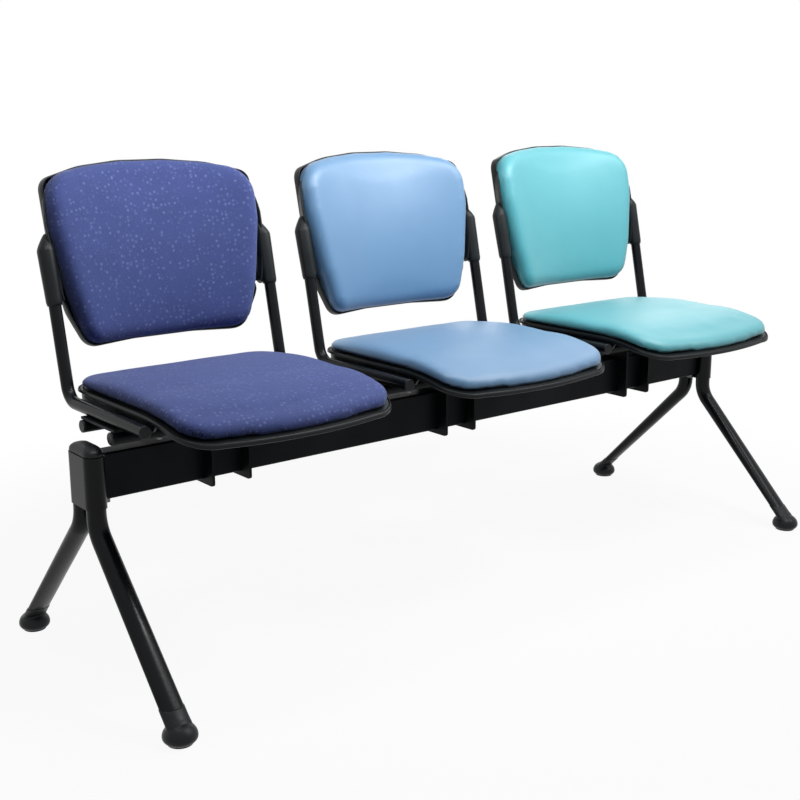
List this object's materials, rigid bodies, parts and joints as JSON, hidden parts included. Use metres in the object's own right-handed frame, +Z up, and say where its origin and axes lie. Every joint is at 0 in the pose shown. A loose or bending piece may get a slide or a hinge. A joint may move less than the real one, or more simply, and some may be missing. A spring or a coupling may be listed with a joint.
{
  "type": "beam seating",
  "caption": "Row of upholstered seats with separate backrests on a rectangular steel beam, carried by splayed tubular legs with moulded feet.",
  "frame": {"origin": "on the floor, under the middle of the beam", "axes": "+X along the beam, +Y from the sitter's knees to the backrest, +Z up; a sitter faces -Y"},
  "size_m": [1.641, 0.617, 0.8656],
  "materials": {
    "frame": "satin black powder coat",
    "hidden_steel": "satin black",
    "bolts": "blackened steel",
    "shell": "fine moulded grain",
    "moulding": "smooth moulded",
    "non_slip": "matt",
    "board": "bent plywood",
    "cushion_left": "woven indigo with small pale dots",
    "cushion_middle": "smooth pale blue upholstery vinyl",
    "cushion_right": "smooth turquoise upholstery vinyl"
  },
  "bodies": {
    "root": {"back_board_left": "board", "back_board_middle": "board", "back_board_right": "board", "back_pad_left": "cushion_left", "back_pad_middle": "cushion_middle", "back_pad_right": "cushion_right", "back_shell_left": "shell", "back_shell_middle": "shell", "back_shell_right": "shell", "beam": "frame", "beam_bracket_left": "frame", "beam_bracket_middle": "frame", "beam_bracket_right": "frame", "clamp_plate_left": "hidden_steel", "clamp_plate_middle": "hidden_steel", "clamp_plate_right": "hidden_steel", "cross_tubes_left": "frame", "cross_tubes_middle": "frame", "cross_tubes_right": "frame", "fasteners_left": "bolts", "fasteners_middle": "bolts", "fasteners_right": "bolts", "foot_front_left": "moulding", "foot_front_right": "moulding", "foot_pads": "non_slip", "foot_rear_left": "moulding", "foot_rear_right": "moulding", "leg_bolts": "bolts", "leg_cap_left": "moulding", "leg_cap_right": "moulding", "leg_front_left": "frame", "leg_front_right": "frame", "leg_head_left": "frame", "leg_head_right": "frame", "leg_rear_left": "frame", "leg_rear_right": "frame", "leg_spigot_left": "hidden_steel", "leg_spigot_right": "hidden_steel", "saddle_strips_left": "frame", "saddle_strips_middle": "frame", "saddle_strips_right": "frame", "seat_board_left": "board", "seat_board_middle": "board", "seat_board_right": "board", "seat_pad_left": "cushion_left", "seat_pad_middle": "cushion_middle", "seat_pad_right": "cushion_right", "seat_shell_left": "shell", "seat_shell_middle": "shell", "seat_shell_right": "shell", "side_tube_left_left": "frame", "side_tube_left_middle": "frame", "side_tube_left_right": "frame", "side_tube_right_left": "frame", "side_tube_right_middle": "frame", "side_tube_right_right": "frame", "tube_plugs_left": "moulding", "tube_plugs_middle": "moulding", "tube_plugs_right": "moulding"}
  },
  "joints": []
}
